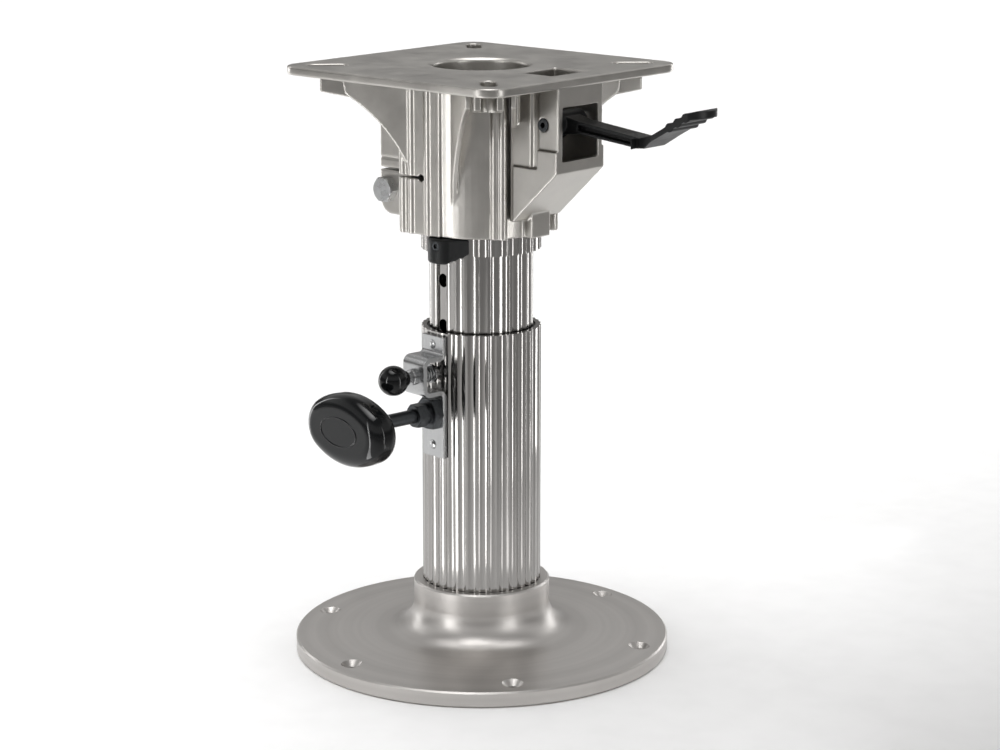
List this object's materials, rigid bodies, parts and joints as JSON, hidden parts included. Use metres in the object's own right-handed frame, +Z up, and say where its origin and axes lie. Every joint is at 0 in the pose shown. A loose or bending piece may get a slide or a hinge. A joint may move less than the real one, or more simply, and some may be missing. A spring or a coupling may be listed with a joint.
{
  "type": "boat seat pedestal",
  "caption": "Ribbed two-stage column on a round floor base, set in height by a sprung pin and a hand screw, with a swivelling cast seat plate and its side lever.",
  "frame": {"origin": "centre of the round base on its underside", "axes": "+Z up along the column, +X towards the swivel lever, -Y towards the locking bracket and knobs"},
  "size_m": [0.2858, 0.2286, 0.359],
  "materials": {
    "base": "turned satin",
    "tube": "bright anodised",
    "casting": "tumbled cast",
    "sheet_steel": "bright zinc plated",
    "black_steel": "blackened",
    "zinc": "zinc plated",
    "spring_steel": "drawn wire",
    "pad_brass": "turned",
    "nylon": "moulded nylon",
    "knob": "polished phenolic"
  },
  "bodies": {
    "column": {"base_plate": "base", "outer_tube": "tube", "guide_bush_top": "nylon", "lock_bracket": "sheet_steel", "bracket_rivet_upper": "sheet_steel", "bracket_rivet_lower": "sheet_steel", "pin_guide_bush": "sheet_steel", "pin_spring": "spring_steel", "clamp_bushing": "black_steel", "jam_nut": "black_steel"},
    "riser": {"upper_tube": "tube", "guide_bush_bottom": "nylon", "swivel_sleeve": "tube", "sleeve_pin_front": "zinc", "sleeve_pin_back": "zinc", "top_plug": "tube", "retaining_washer": "zinc", "retaining_bolt": "zinc", "stop_block": "nylon", "stop_block_screw": "black_steel"},
    "pull_pin": {"lock_pin": "sheet_steel", "pin_clip": "sheet_steel", "ball_knob": "knob"},
    "clamp": {"clamp_pad": "pad_brass"},
    "hand_screw": {"clamp_shaft": "black_steel", "oval_knob": "knob"},
    "turning_mount": {"seat_mount": "casting", "swivel_bushing": "nylon", "thrust_washer": "nylon", "pinch_bolt": "zinc", "pinch_nut": "zinc", "lever_pivot_pin": "black_steel", "lever_spring": "spring_steel"},
    "swivel_lever": {"lever": "nylon"}
  },
  "joints": [
    {"name": "height_slide", "type": "slide", "parent": "column", "child": "riser", "axis": [0, 0, 1], "range_m": [-0.0275, 0.0825]},
    {"name": "pin_pull", "type": "slide", "parent": "column", "child": "pull_pin", "axis": [-0.1219, -0.9925, 0], "range_m": [-0.003, 0.005], "stiffness_N_per_m": 600, "deforming": ["pin_spring"]},
    {"name": "clamp_travel", "type": "slide", "parent": "column", "child": "clamp", "axis": [-0.1219, -0.9925, 0], "range_m": [0, 0.0026]},
    {"name": "clamp_turn", "type": "hinge", "parent": "clamp", "child": "hand_screw", "pos_m": [-0.01219, -0.09925, 0.1539], "axis": [-0.1219, -0.9925, 0], "range_deg": [0, 720]},
    {"name": "seat_swivel", "type": "hinge", "parent": "riser", "child": "turning_mount", "pos_m": [0, 0, 0.3], "axis": [0, 0, 1], "continuous": true},
    {"name": "lever_lift", "type": "hinge", "parent": "turning_mount", "child": "swivel_lever", "pos_m": [0.0655, 0, 0.3311], "axis": [0, -1, 0], "range_deg": [0, 12], "stiffness_Nm_per_rad": 0.3, "springref_deg": -11.46}
  ],
  "couplings": [
    {"joint": "clamp_travel", "follows": "clamp_turn", "m_per_rad": 0.00019894}
  ]
}
